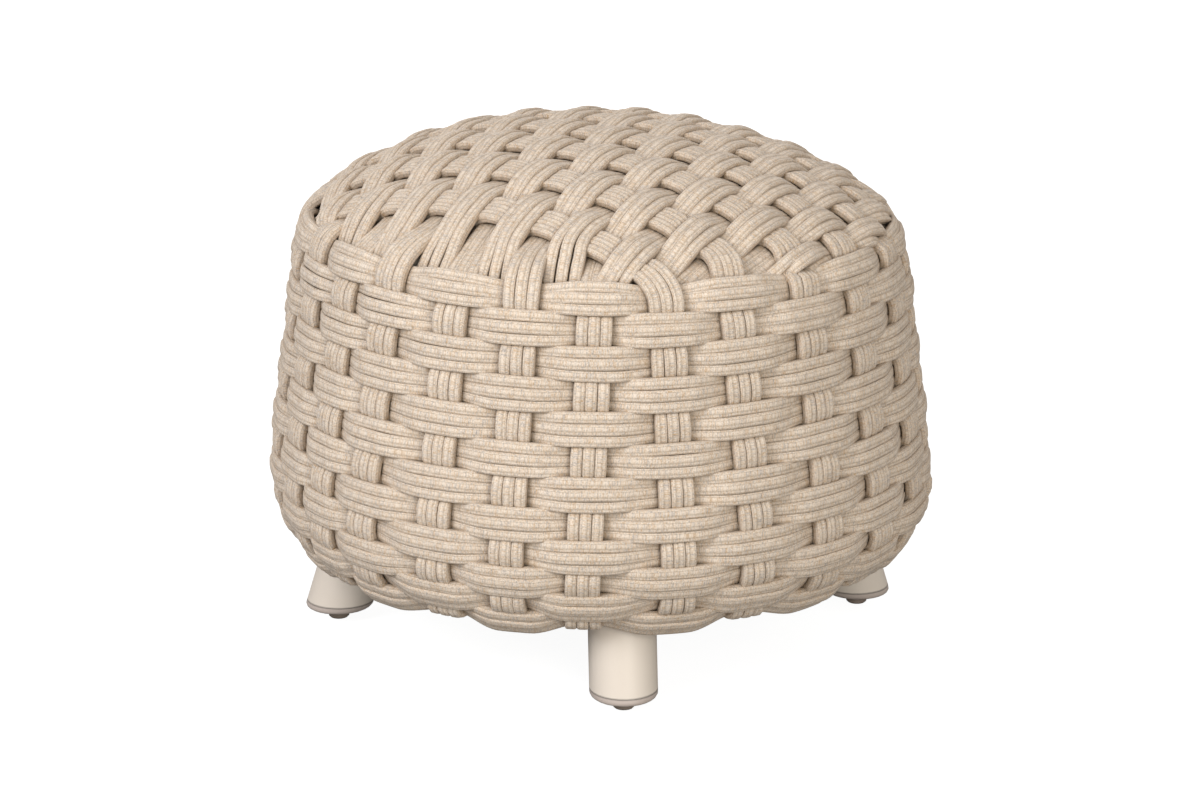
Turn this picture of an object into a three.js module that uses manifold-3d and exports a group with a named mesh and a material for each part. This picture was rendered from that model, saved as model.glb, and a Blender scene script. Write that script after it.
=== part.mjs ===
// Round outdoor footstool: a welded frame inside a cover woven from broad rope bands,
// on four splayed round legs with plastic end caps and screw-in levelling glides.
// Millimetres, +Z up. The origin is on the floor, under the middle of the stool.
import * as THREE from 'three';
import { mergeVertices } from 'three/addons/utils/BufferGeometryUtils.js';
import Module from 'manifold-3d';

const wasm = await Module();
wasm.setup();

// Clearances
const seat_gap = 0.3;            // between two pieces that touch
const cover_gap = 1.4;           // between the faceted cover and what carries it
const overrun = 2;               // how far a cutting tool passes a face

// Woven cover: overall sizes, and the outline of its outer surface as shares of them
const body_radius = 283;         // at its widest
const body_height = 296.5;       // from the turned-in edge up to the rim
const body_bottom_z = 66;
const cover_outline_shares = [   // [height, radius], from the rim down
  [1, 0.8855],
  [0.9713, 0.8982],
  [0.941, 0.9053],
  [0.8567, 0.9254],
  [0.7218, 0.9417],
  [0.5868, 0.9611],
  [0.4519, 0.9823],
  [0.3575, 0.994],
  [0.2664, 1],
  [0.1821, 0.9926],
  [0.1147, 0.9668],
  [0.0688, 0.9371],
];
const lip_outline_shares = [     // [radius, height] of the turned-in row, below its upper edge
  [0.9028, 0.027],
  [0.8781, 0.0061],
  [0.8551, 0],
  [0.8481, 0.0067],
  [0.8481, 0.0405],
];
const dome_height = 67.8;
const dome_power = 2.67;

// Woven cover: the bands
const row_count = 12;            // the last one is turned in under the body
const turned_in_height = 20.4;
const weave_thickness = 16;
const band_edge_round = 2.6;     // a row's edges fall back this far
const band_shoulder = 4;         // and are back on the outline this far from the edge
const top_edge_round = 2;

// Woven top: close bands lie side by side one way, and spaced bands cross them
const close_band_turn = THREE.MathUtils.degToRad(97.56);
const close_band_pitch = 25.52;
const close_band_start = 57.6;   // an edge of one close band, from the middle
const spaced_band_pitch = 60.02;
const spaced_band_start = -186.3; // the first spaced band's middle line, from the middle
const spaced_band_count = 7;
const patch_half_width = 12.5;   // of a spaced band, where it shows
const patch_edge = 2.5;
const weave_swing = 4.1;         // of a band, to each side of the weave's middle
const patch_groove = 4.5;
const band_groove = 1.5;
const relief_fade = 20;          // the relief grows from the rim inwards over this way

// Frame
const rim_ring_diameter = 16;
const rim_ring_rise = 6.1;       // of its crest, above the weave's inner corner
const base_ring_diameter = 14;
const base_ring_rise = 31;       // of its middle, above the turned-in edge
const base_ring_inset = 8.7;     // from the weave's inner face
const hoop_diameter = 6;
const hoop_rise = 153;
const post_diameter = 20;
const post_ring_gap = 1;         // faceted ring to post
const rib_diameter = 14;
const spoke_width = 26;
const spoke_thickness = 6;
const crown_radius = 34;
const crown_thickness = 6;

// Legs, their plates and bolts
const leg_count = 4;
const first_leg_turn = THREE.MathUtils.degToRad(45);
const splay = THREE.MathUtils.degToRad(17);
const leg_diameter = 56;
const leg_wall = 2.5;
const leg_lip_gap = 2.6;         // leg to the turned-in row
const plate_thickness = 5;
const plate_inner_reach = 27;    // from the leg's axis towards the middle
const plate_ring_overlap = 5;    // of a plate under the base ring
const plate_side_margin = 10;    // outside a bolt's middle line
const plate_corner = 14;
const bolt_diameter = 8;
const bolt_hole_clearance = 0.7;
const bolt_head_radius = 7.5;
const bolt_head_height = 5.5;
const nut_height = 6.5;
const bolt_leg_gap = 6;          // leg to the middle line of a bolt, sideways

// End caps and glides
const cap_head_height = 6;
const cap_edge_round = 4;
const cap_plug_depth = 21;
const cap_plug_wall = 4;
const cap_web_height = 8;
const pad_radius = 9;
const pad_height = 10.2;
const pad_bottom_round = 1.4;
const pad_top_round = 0.8;
const stud_diameter = 8;
const stud_length = 20;
const stud_chamfer = 0.8;

// Facets
const plan_sides = 52;
const ring_sides = 8;
const bar_sides = 10;
const leg_sides = 28;
const pad_sides = 18;
const bolt_sides = 6;
const arc_steps = 200;
const rib_steps = 10;
const spoke_steps = 10;
const round_steps = 4;

const quarter_turn = Math.PI / 2;
const full_turn = Math.PI * 2;

// Places that follow from the sizes
const rim_z = body_bottom_z + body_height;
const row_pitch = (body_height - turned_in_height) / (row_count - 1);
const cover_outline = cover_outline_shares.map(([height_share, radius_share]) => [
  body_bottom_z + body_height * height_share,
  body_radius * radius_share,
]);
const lip_outline = lip_outline_shares.map(([radius_share, height_share]) => [
  body_radius * radius_share,
  body_bottom_z + body_height * height_share,
]);
const lip_inner_radius = Math.min(...lip_outline.map(([radius]) => radius));
const lip_level = lip_outline[0][1];
const dome_radius = coverRadius(rim_z) - band_edge_round;
const dome_edge_z = rim_z + top_edge_round;
const rim_ring_z = rim_z - weave_thickness + rim_ring_rise - rim_ring_diameter / 2;
const rim_ring_radius = coverRadius(rim_ring_z) - weave_thickness - cover_gap - rim_ring_diameter / 2;
const base_ring_z = body_bottom_z + base_ring_rise;
const base_ring_reach = coverRadius(base_ring_z) - weave_thickness - base_ring_inset;
const base_ring_radius = base_ring_reach - base_ring_diameter / 2;
const post_base_radius = base_ring_radius - (base_ring_diameter + post_diameter) / 2 - post_ring_gap;
const hoop_z = body_bottom_z + hoop_rise;
const cap_bottom = pad_height + seat_gap;
const cap_top = cap_bottom + cap_head_height;
const plate_top = base_ring_z - base_ring_diameter / 2 - seat_gap;
const plate_bottom = plate_top - plate_thickness;
const flange_top = plate_bottom - seat_gap;
const flange_bottom = flange_top - plate_thickness;
const leg_top = flange_bottom - seat_gap;
const leg_bottom = cap_top + seat_gap;
const leg_side_reach = leg_diameter / 2 / Math.cos(splay);
const leg_lip_radius = lip_inner_radius - leg_lip_gap - leg_side_reach;
const foot_radius = leg_lip_radius + Math.tan(splay) * (lip_level - cap_bottom);
const plate_inner_radius = legAxisRadius(flange_top) - plate_inner_reach;
const plate_outer_radius = base_ring_radius - base_ring_diameter / 2 + plate_ring_overlap;
const bolt_place = legAxisRadius(flange_top);
const bolt_offset = leg_diameter / 2 + bolt_leg_gap + bolt_diameter / 2;
const plate_half_width = bolt_offset + plate_side_margin;

// Finishes
const rope = () => new THREE.MeshStandardMaterial({ color: 0xcdbda6, roughness: 0.95, metalness: 0 });
const cream_coat = () => new THREE.MeshStandardMaterial({ color: 0xdccfbd, roughness: 0.42, metalness: 0 });
const zinc = () => new THREE.MeshStandardMaterial({ color: 0xb4b6b8, roughness: 0.35, metalness: 1 });
const cap_plastic = () => new THREE.MeshStandardMaterial({ color: 0xb3a396, roughness: 0.5, metalness: 0 });
const glide_plastic = () => new THREE.MeshStandardMaterial({ color: 0x4b423b, roughness: 0.6, metalness: 0 });

const stool = new THREE.Group();

// The cover's outer radius at a height, read between the stations of its outline.
function coverRadius(z) {
  const last = cover_outline.length - 2;
  const found = cover_outline.findIndex(([height], i) => i > 0 && z >= height) - 1;
  const i = found < 0 ? last : found;
  const [upper_z, upper_radius] = cover_outline[i];
  const [lower_z, lower_radius] = cover_outline[i + 1];
  return lower_radius + (upper_radius - lower_radius) * (z - lower_z) / (upper_z - lower_z);
}

// Height of the top panel's outer surface, from its distance to the middle as a share of the dome.
function domeHeight(dome_share) {
  return dome_edge_z + dome_height * (1 - dome_share ** dome_power);
}

function domeUnderside(dome_share) {
  return domeHeight(dome_share) - weave_thickness;
}

// A closed profile of [radius, height] points, turned about the Z axis.
function turned(profile, sides) {
  const points = profile.map(([radius, height]) => new THREE.Vector2(radius, height));
  const geometry = new THREE.LatheGeometry(points, sides);
  return geometry.rotateX(quarter_turn);
}

function circleProfile(centre_radius, centre_z, diameter, sides) {
  const points = [];
  for (let i = 0; i <= sides; i += 1) {
    const turn = (i % sides) / sides * full_turn;
    points.push([centre_radius + diameter / 2 * Math.cos(turn), centre_z + diameter / 2 * Math.sin(turn)]);
  }
  return points;
}

function addPiece(name, geometry, finish) {
  const mesh = new THREE.Mesh(geometry, finish());
  mesh.name = name;
  stool.add(mesh);
  return mesh;
}

function toSolid(geometry) {
  const bare = geometry.clone();
  bare.deleteAttribute('normal');
  bare.deleteAttribute('uv');
  const merged = mergeVertices(bare);
  const vertProperties = new Float32Array(merged.attributes.position.array);
  const triVerts = new Uint32Array(merged.index.array);
  return new wasm.Manifold(new wasm.Mesh({ numProp: 3, vertProperties, triVerts }));
}

function fromSolid(solid) {
  const mesh = solid.getMesh();
  const geometry = new THREE.BufferGeometry();
  geometry.setAttribute('position', new THREE.BufferAttribute(mesh.vertProperties, 3));
  geometry.setIndex(new THREE.BufferAttribute(mesh.triVerts, 1));
  return geometry;
}

function tidyName(stem, number) {
  return `${stem}_${String(number).padStart(2, '0')}`;
}

// Woven side: one ring for each row of the weave, with the upright bands that pass through it.
function rowCentre(row) {
  return rim_z - row_pitch * (row + 0.5);
}

function rowProfile(row) {
  const top = rowCentre(row) + row_pitch / 2 - seat_gap / 2;
  const bottom = rowCentre(row) - row_pitch / 2 + seat_gap / 2;
  const outer = [
    [coverRadius(top) - band_edge_round, top],
    [coverRadius(top - band_shoulder), top - band_shoulder],
    [coverRadius(bottom + band_shoulder), bottom + band_shoulder],
    [coverRadius(bottom) - band_edge_round, bottom],
  ];
  const inner = [
    [coverRadius(bottom) - weave_thickness, bottom],
    [coverRadius(top) - weave_thickness, top],
  ];
  return [...outer, ...inner, outer[0]].reverse();
}

// The last row is turned in and passes outside the legs.
function lastRowProfile(row) {
  const top = rowCentre(row) + row_pitch / 2 - seat_gap / 2;
  const corner = [coverRadius(top) - band_edge_round, top];
  return [corner, ...lip_outline, [coverRadius(top) - weave_thickness, top], corner].reverse();
}

function addRows() {
  for (let row = 0; row < row_count; row += 1) {
    const profile = row === row_count - 1 ? lastRowProfile(row) : rowProfile(row);
    addPiece(tidyName('rope_row', row + 1), turned(profile, plan_sides), rope);
  }
}

// The way over the dome from its middle, at even steps of the dome's radius.
function domeWays() {
  const ways = [0];
  for (let step = 1; step <= arc_steps; step += 1) {
    const rise = domeHeight(step / arc_steps) - domeHeight((step - 1) / arc_steps);
    ways.push(ways[step - 1] + Math.hypot(dome_radius / arc_steps, rise));
  }
  return ways;
}

// The distance from the middle, in plan, of a point that lies a given way over the dome.
function planRadius(way, ways) {
  const rim_way = ways[arc_steps];
  if (way >= rim_way) {
    return dome_radius + way - rim_way;
  }
  const step = ways.findIndex((next) => next > way) - 1;
  const part = (way - ways[step]) / (ways[step + 1] - ways[step]);
  return dome_radius * (step + part) / arc_steps;
}

// Lines across the close bands: each band's edge and the two sides of its flat back.
function closeLines(rim_way) {
  const line_shares = [[0, true], [0.25, false], [0.75, false]];
  const lines = [];
  const first = Math.floor((-rim_way - close_band_start) / close_band_pitch);
  const last = Math.ceil((rim_way - close_band_start) / close_band_pitch);
  for (let band = first; band <= last; band += 1) {
    for (const [share, is_edge] of line_shares) {
      lines.push({ place: close_band_start + close_band_pitch * (band + share), band, is_edge });
    }
  }
  return lines;
}

// Lines across the spaced bands: both sides of each patch, and halfway to the next band.
// Outside the last band on either side come plain lines, as far as the rim.
function spacedLines(rim_way) {
  const beside = patch_half_width + patch_edge;
  const half_pitch = spaced_band_pitch / 2;
  const plain_step = half_pitch / 2;
  const steps = [
    [-beside, 'beside'],
    [-patch_half_width, 'patch'],
    [patch_half_width, 'patch'],
    [beside, 'beside'],
    [half_pitch, 'between'],
  ];
  const first_edge = spaced_band_start - half_pitch;
  const last_edge = spaced_band_start + spaced_band_pitch * spaced_band_count - half_pitch;
  const lines = [{ place: first_edge, band: 0, kind: 'between' }];
  for (let place = first_edge - plain_step; place > -rim_way - spaced_band_pitch; place -= plain_step) {
    lines.unshift({ place, band: 0, kind: 'plain' });
  }
  for (let band = 0; band < spaced_band_count; band += 1) {
    for (const [offset, kind] of steps) {
      lines.push({ place: spaced_band_start + spaced_band_pitch * band + offset, band, kind });
    }
  }
  for (let place = last_edge + plain_step; place < rim_way + spaced_band_pitch; place += plain_step) {
    lines.push({ place, band: 0, kind: 'plain' });
  }
  return lines;
}

// How far the weave lies below the dome where two lines cross. A close band rises over every
// second spaced band and dips under the others, and its neighbours do so by turns.
function reliefDepth(close, spaced) {
  const full_swing = 2 * weave_swing;
  if (spaced.kind === 'plain') {
    return close.is_edge ? band_groove : 0;
  }
  if (spaced.kind === 'between') {
    return weave_swing + (close.is_edge ? band_groove : 0);
  }
  if (spaced.kind === 'patch') {
    return close.is_edge ? patch_groove : 0;
  }
  const dips = (close.band + spaced.band) % 2 === 0;
  const is_low = close.is_edge || dips;
  return is_low ? full_swing - band_groove : 0;
}

// A block whose upper face is the dome with the relief of the crossing bands.
function reliefBlock() {
  const ways = domeWays();
  const rim_way = ways[arc_steps];
  const close_lines = closeLines(rim_way);
  const spaced_lines = spacedLines(rim_way);
  const positions = [];
  for (const close of close_lines) {
    for (const spaced of spaced_lines) {
      const way = Math.hypot(close.place, spaced.place);
      const turn = close_band_turn + Math.atan2(-close.place, spaced.place);
      const radius = planRadius(way, ways);
      const fade = Math.min(Math.max((rim_way - way) / relief_fade, 0), 1);
      const upper_z = domeHeight(radius / dome_radius) - reliefDepth(close, spaced) * fade;
      positions.push([radius * Math.cos(turn), radius * Math.sin(turn), upper_z]);
    }
  }
  const count = positions.length;
  const lowest = Math.min(...positions.map(([, , z]) => z)) - weave_thickness;
  const lower = positions.map(([x, y]) => [x, y, lowest]);
  const index = [];
  const wide = spaced_lines.length;
  const addQuad = (a, b, c, d) => index.push(a, b, c, a, c, d);
  for (let i = 0; i + 1 < close_lines.length; i += 1) {
    for (let j = 0; j + 1 < wide; j += 1) {
      const corner = i * wide + j;
      addQuad(corner, corner + wide, corner + wide + 1, corner + 1);
      addQuad(count + corner, count + corner + 1, count + corner + wide + 1, count + corner + wide);
    }
    const end = i * wide + wide - 1;
    addQuad(i * wide, count + i * wide, count + (i + 1) * wide, (i + 1) * wide);
    addQuad(end, end + wide, count + end + wide, count + end);
  }
  for (let j = 0; j + 1 < wide; j += 1) {
    const end = (close_lines.length - 1) * wide + j;
    addQuad(j, j + 1, count + j + 1, count + j);
    addQuad(end, count + end, count + end + 1, end + 1);
  }
  const vertProperties = new Float32Array([...positions, ...lower].flat());
  return new wasm.Manifold(new wasm.Mesh({ numProp: 3, vertProperties, triVerts: new Uint32Array(index) }));
}

// Woven top: a shallow dome that closes the ring of rows, with the relief of its bands.
function addTopPanel() {
  const inner_shares = [0.9, 0.82, 0.73, 0.63, 0.52, 0.4, 0.27, 0.137, 0];
  const edge_z = rim_z + seat_gap / 2;
  const above = domeHeight(0) + overrun;
  const profile = [
    [0, above],
    [dome_radius, above],
    [dome_radius, dome_edge_z],
    [dome_radius - top_edge_round, edge_z],
    [dome_radius - weave_thickness, edge_z],
    ...inner_shares.map((share) => [dome_radius * share, domeUnderside(share)]),
  ].reverse();
  const panel = toSolid(turned(profile, plan_sides));
  addPiece('rope_top', fromSolid(panel.intersect(reliefBlock())), rope);
}

// Frame: three hoops, four posts over the legs, four bowed ribs between them,
// and four flat spokes that carry the top and meet at a crown plate.
function addHoops() {
  const rib_inner_radius = coverRadius(hoop_z) - weave_thickness - cover_gap - rib_diameter;
  const hoop_radius = rib_inner_radius - seat_gap - hoop_diameter / 2;
  const hoops = [
    ['rim_ring', rim_ring_radius, rim_ring_z, rim_ring_diameter],
    ['middle_hoop', hoop_radius, hoop_z, hoop_diameter],
    ['base_ring', base_ring_radius, base_ring_z, base_ring_diameter],
  ];
  for (const [name, radius, z, diameter] of hoops) {
    const profile = circleProfile(radius, z, diameter, ring_sides);
    addPiece(name, turned(profile, plan_sides), cream_coat);
  }
}

// A round bar that stands between two heights, leaning outwards, with level ends.
function leaningBar(profile, lean, turn, foot_place, foot_z) {
  const geometry = turned(profile, leg_sides);
  const shear = Math.tan(lean);
  const affine = new THREE.Matrix4().set(
    1 / Math.cos(lean), 0, -shear, foot_place + shear * foot_z,
    0, 1, 0, 0,
    0, 0, 1, 0,
    0, 0, 0, 1,
  );
  geometry.applyMatrix4(affine);
  return geometry.rotateZ(turn);
}

function addPosts() {
  const bottom = base_ring_z - base_ring_diameter / 2;
  const top = rim_ring_z - rim_ring_diameter / 2 - seat_gap;
  for (let leg = 0; leg < leg_count; leg += 1) {
    const turn = first_leg_turn + leg * quarter_turn;
    const lean = Math.atan((post_base_radius - rim_ring_radius) / (top - bottom));
    const profile = [[0, bottom], [post_diameter / 2, bottom], [post_diameter / 2, top], [0, top]];
    const geometry = leaningBar(profile, lean, turn, post_base_radius, bottom);
    addPiece(tidyName('post', leg + 1), geometry, cream_coat);
  }
}

function addRibs() {
  const bottom = base_ring_z + base_ring_diameter / 2 + seat_gap;
  const top = rim_ring_z - rim_ring_diameter / 2 - seat_gap;
  const section = new THREE.Shape();
  section.absarc(0, 0, rib_diameter / 2, 0, full_turn);
  for (let rib = 0; rib < leg_count; rib += 1) {
    const turn = rib * quarter_turn;
    const inset = weave_thickness + cover_gap + rib_diameter / 2;
    const points = [];
    for (let step = 0; step <= rib_steps; step += 1) {
      const share = step / rib_steps;
      const z = bottom + (top - bottom) * share;
      const bowed = coverRadius(z) - inset;
      const chord = base_ring_radius + (rim_ring_radius - base_ring_radius) * share;
      const hold_share = Math.min(1, 4 * share * (1 - share)) ** 0.5;
      const radius = Math.min(chord + (bowed - chord) * hold_share, bowed);
      points.push(new THREE.Vector3(radius * Math.cos(turn), radius * Math.sin(turn), z));
    }
    const path = new THREE.CatmullRomCurve3(points);
    const geometry = new THREE.ExtrudeGeometry(section, {
      steps: rib_steps, curveSegments: bar_sides / 2, extrudePath: path, bevelEnabled: false,
    });
    addPiece(tidyName('rib', rib + 1), geometry, cream_coat);
  }
}

function crownTop() {
  return domeUnderside(crown_radius / dome_radius) - cover_gap;
}

function addCrown() {
  const top = crownTop();
  const bottom = top - crown_thickness;
  const profile = [[0, bottom], [crown_radius, bottom], [crown_radius, top], [0, top]];
  addPiece('crown_plate', turned(profile, leg_sides), cream_coat);
  for (let spoke = 0; spoke < leg_count; spoke += 1) {
    const turn = spoke * quarter_turn;
    const start = crown_radius + seat_gap;
    const end = rim_ring_radius;
    const upper = [];
    for (let step = 0; step <= spoke_steps; step += 1) {
      const place = start + (end - start) * step / spoke_steps;
      upper.push(new THREE.Vector2(place, domeUnderside(place / dome_radius) - cover_gap));
    }
    const ring_top = rim_ring_z + rim_ring_diameter / 2 + seat_gap;
    upper[spoke_steps].y = ring_top + spoke_thickness;
    const lower = upper.map((point) => new THREE.Vector2(point.x, point.y - spoke_thickness)).reverse();
    const side = new THREE.Shape([...upper, ...lower]);
    const geometry = new THREE.ExtrudeGeometry(side, { depth: spoke_width, bevelEnabled: false });
    geometry.translate(0, 0, -spoke_width / 2);
    geometry.rotateX(quarter_turn);
    geometry.rotateZ(turn);
    addPiece(tidyName('spoke', spoke + 1), geometry, cream_coat);
  }
}

// Legs
function legAxisRadius(z) {
  return foot_radius - Math.tan(splay) * (z - cap_bottom);
}

function onLeg(geometry, leg) {
  return geometry.rotateZ(first_leg_turn + leg * quarter_turn);
}

function legPlate(bottom) {
  const outline = new THREE.Shape();
  const inner = plate_inner_radius;
  const outer = plate_outer_radius;
  const half = plate_half_width;
  const corner = plate_corner;
  outline.moveTo(inner + corner, -half);
  outline.lineTo(outer - corner, -half);
  outline.absarc(outer - corner, -half + corner, corner, -quarter_turn, 0);
  outline.lineTo(outer, half - corner);
  outline.absarc(outer - corner, half - corner, corner, 0, quarter_turn);
  outline.lineTo(inner + corner, half);
  outline.absarc(inner + corner, half - corner, corner, quarter_turn, 2 * quarter_turn);
  outline.lineTo(inner, -half + corner);
  outline.absarc(inner + corner, -half + corner, corner, 2 * quarter_turn, 3 * quarter_turn);
  for (const side of [-1, 1]) {
    const hole = new THREE.Path();
    const radius = bolt_diameter / 2 + bolt_hole_clearance;
    hole.absarc(bolt_place, side * bolt_offset, radius, 0, full_turn, true);
    outline.holes.push(hole);
  }
  const geometry = new THREE.ExtrudeGeometry(outline, {
    depth: plate_thickness, bevelEnabled: false, curveSegments: round_steps,
  });
  return geometry.translate(0, 0, bottom);
}

function boltProfile() {
  const shaft = bolt_diameter / 2;
  const head_top = flange_bottom - seat_gap;
  const nut_bottom = plate_top + seat_gap;
  return [
    [0, head_top - bolt_head_height],
    [bolt_head_radius, head_top - bolt_head_height],
    [bolt_head_radius, head_top],
    [shaft, head_top],
    [shaft, nut_bottom],
    [bolt_head_radius, nut_bottom],
    [bolt_head_radius, nut_bottom + nut_height],
    [0, nut_bottom + nut_height],
  ];
}

function legTubeProfile() {
  const outer = leg_diameter / 2;
  const inner = outer - leg_wall;
  return [[inner, leg_bottom], [outer, leg_bottom], [outer, leg_top], [inner, leg_top], [inner, leg_bottom]];
}

function capGeometry() {
  const outer = leg_diameter / 2;
  const plug = outer - leg_wall - seat_gap;
  const edge = [];
  for (let step = 0; step <= round_steps; step += 1) {
    const turn = quarter_turn * step / round_steps;
    const radius = outer - cap_edge_round * (1 - Math.sin(turn));
    edge.push([radius, cap_bottom + cap_edge_round * (1 - Math.cos(turn))]);
  }
  const profile = [
    [0, cap_bottom],
    ...edge,
    [outer, cap_top],
    [plug, cap_top],
    [plug, cap_top + cap_plug_depth],
    [plug - cap_plug_wall, cap_top + cap_plug_depth],
    [plug - cap_plug_wall, cap_top + cap_web_height],
    [0, cap_top + cap_web_height],
  ];
  const cap = toSolid(leaningBar(profile, splay, 0, foot_radius, cap_bottom));
  const bore_radius = stud_diameter / 2 + seat_gap;
  const bore_bottom = cap_bottom - overrun;
  const bore_top = cap_top + cap_web_height + overrun;
  const bore_profile = [[0, bore_bottom], [bore_radius, bore_bottom], [bore_radius, bore_top], [0, bore_top]];
  const bore = toSolid(turned(bore_profile, pad_sides).translate(foot_radius, 0, 0));
  return fromSolid(cap.subtract(bore));
}

function glideProfile() {
  const stud = stud_diameter / 2;
  return [
    [0, 0],
    [pad_radius - pad_bottom_round, 0],
    [pad_radius, pad_bottom_round],
    [pad_radius, pad_height - pad_top_round],
    [pad_radius - pad_top_round, pad_height],
    [stud, pad_height],
    [stud, pad_height + stud_length - stud_chamfer],
    [stud - stud_chamfer, pad_height + stud_length],
    [0, pad_height + stud_length],
  ];
}

function addLegs() {
  for (let leg = 0; leg < leg_count; leg += 1) {
    const number = leg + 1;
    const turn = first_leg_turn + leg * quarter_turn;
    addPiece(tidyName('mount_plate', number), onLeg(legPlate(plate_bottom), leg), cream_coat);
    addPiece(tidyName('leg_flange', number), onLeg(legPlate(flange_bottom), leg), cream_coat);
    for (const [letter, side] of [['a', -1], ['b', 1]]) {
      const bolt = turned(boltProfile(), bolt_sides).translate(bolt_place, side * bolt_offset, 0);
      addPiece(`${tidyName('leg_bolt', number)}${letter}`, onLeg(bolt, leg), zinc);
    }
    const tube = leaningBar(legTubeProfile(), splay, turn, foot_radius, cap_bottom);
    addPiece(tidyName('leg', number), tube, cream_coat);
    addPiece(tidyName('leg_cap', number), onLeg(capGeometry(), leg), cap_plastic);
    const glide = turned(glideProfile(), pad_sides).translate(foot_radius, 0, 0);
    addPiece(tidyName('glide', number), onLeg(glide, leg), glide_plastic);
  }
}

addTopPanel();
addRows();
addHoops();
addPosts();
addRibs();
addCrown();
addLegs();

export default stool;
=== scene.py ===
"""Looks of the round woven footstool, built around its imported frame.

Lengths in the classes are millimetres, in the frame of the CAD part: the origin is on the
floor under the middle of the stool and +Z is up. They become metres when a mesh is made.
"""

import logging
import math
from dataclasses import dataclass
from enum import Enum

import bpy
import numpy as np
from bpy.types import Material, NodeSocket, NodeTree, Object
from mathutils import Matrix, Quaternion, Vector


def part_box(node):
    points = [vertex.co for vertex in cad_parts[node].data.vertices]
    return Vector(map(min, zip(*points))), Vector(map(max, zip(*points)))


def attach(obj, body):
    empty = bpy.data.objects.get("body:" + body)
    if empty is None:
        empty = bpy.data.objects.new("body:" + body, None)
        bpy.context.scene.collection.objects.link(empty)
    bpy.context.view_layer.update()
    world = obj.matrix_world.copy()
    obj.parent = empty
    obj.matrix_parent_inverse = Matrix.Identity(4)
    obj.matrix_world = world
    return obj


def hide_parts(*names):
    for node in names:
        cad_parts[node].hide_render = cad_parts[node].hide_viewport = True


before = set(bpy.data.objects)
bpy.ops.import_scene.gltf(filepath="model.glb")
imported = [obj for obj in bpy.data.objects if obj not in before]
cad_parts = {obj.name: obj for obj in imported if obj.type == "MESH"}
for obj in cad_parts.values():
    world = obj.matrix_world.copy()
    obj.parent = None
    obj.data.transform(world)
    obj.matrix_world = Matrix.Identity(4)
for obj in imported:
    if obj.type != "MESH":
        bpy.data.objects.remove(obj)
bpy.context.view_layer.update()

log = logging.getLogger("footstool")

MM = 0.001
TURN = 2 * np.pi
TINY = 1e-6
SMALL = 1e-3
BODY = "body"
WHITE = (1.0, 1.0, 1.0, 1.0)
Array = np.ndarray
Pair = tuple[float, float]
Triple = tuple[float, float, float]
Colour = Triple


class Pass(Enum):
    """Where a band lies at a crossing: on the outside of the other band or behind it."""

    OVER = 1
    UNDER = -1

    @property
    def other(self) -> "Pass":
        """Where the other band lies."""
        return Pass(-self.value)


class Family(Enum):
    """The two sets of bands on the top: close ones that lie side by side, and spaced ones."""

    CLOSE = "close"
    SPACED = "spaced"

    @property
    def other(self) -> "Family":
        """The set that this one crosses."""
        return Family.SPACED if self is Family.CLOSE else Family.CLOSE


def linear(colour: Colour) -> tuple[float, float, float, float]:
    """Turns a colour as seen on a screen into the values that Blender mixes.

    Args:
        colour: Red, green and blue from 0 to 255.

    Returns:
        Linear red, green and blue from 0 to 1, and an alpha of 1.
    """
    shares = [value / 255 for value in colour]
    return (*(share / 12.92 if share <= 0.04045 else ((share + 0.055) / 1.055) ** 2.4
              for share in shares), 1.0)


def fade(value: Array, start: float, end: float) -> Array:
    """Eases from 0 at the start to 1 at the end, level before and after."""
    share = np.clip((value - start) / (end - start), 0.0, 1.0)
    return share * share * (3 - 2 * share)


def unit(vectors: Array) -> Array:
    """Scales vectors to a length of 1."""
    return vectors / np.maximum(np.linalg.norm(vectors, axis=-1, keepdims=True), TINY)


def polar(way: Array, turn: Array) -> Array:
    """Map points at a way from the crown and an azimuth."""
    return way[..., None] * np.stack([np.cos(turn), np.sin(turn)], axis=-1)


def ways_along(points: Array) -> Array:
    """Length of a path up to each of its points."""
    return np.append(0.0, np.cumsum(np.linalg.norm(np.diff(points, axis=0), axis=1)))


def steps(points: Array, closed: bool) -> Array:
    """Direction of a path at each of its points: the difference of the points beside it.

    Args:
        points: Points of the path.
        closed: Whether the last point is followed by the first one.

    Returns:
        Steps of any length, one for each point.
    """
    if closed:
        return np.roll(points, -1, axis=0) - np.roll(points, 1, axis=0)
    return np.gradient(points, axis=0)


def half_chord(radius: float, offset: float, least: float = 0.0) -> float:
    """Half a circle's chord at an offset from its middle, or the least length."""
    return math.sqrt(max(radius ** 2 - offset ** 2, least ** 2))


def cubic(start: Array, leave: Array, end: Array, arrive: Array,
          count: int) -> Array:
    """Joins two points by one cubic that keeps the direction at both.

    Args:
        start: First point.
        leave: Direction at the first point, of length 1.
        end: Last point.
        arrive: Direction at the last point, of length 1.
        count: Number of points between the two.

    Returns:
        The points between the two.
    """
    span = np.linalg.norm(end - start)
    t = np.linspace(0, 1, count + 2)[1:-1, None]
    return ((2 * t ** 3 - 3 * t ** 2 + 1) * start + (t ** 3 - 2 * t ** 2 + t) * leave * span
            + (3 * t ** 2 - 2 * t ** 3) * end + (t ** 3 - t ** 2) * arrive * span)


def away(azimuth: float, elevation: float) -> Vector:
    """Direction from the stool.

    Args:
        azimuth: Turn round the stool from its front, in degrees.
        elevation: Angle above the floor, in degrees.

    Returns:
        A direction of length one.
    """
    turn, lift = math.radians(azimuth), math.radians(elevation)
    level = math.cos(lift)
    return Vector((math.sin(turn) * level, -math.cos(turn) * level, math.sin(lift)))


def linked(name: str, data: bpy.types.ID) -> Object:
    """Makes an object and puts it into the scene.

    Args:
        name: Name of the object.
        data: Its mesh, lamp or camera.

    Returns:
        The object.
    """
    made = bpy.data.objects.new(name, data)
    bpy.context.scene.collection.objects.link(made)
    return made


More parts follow.
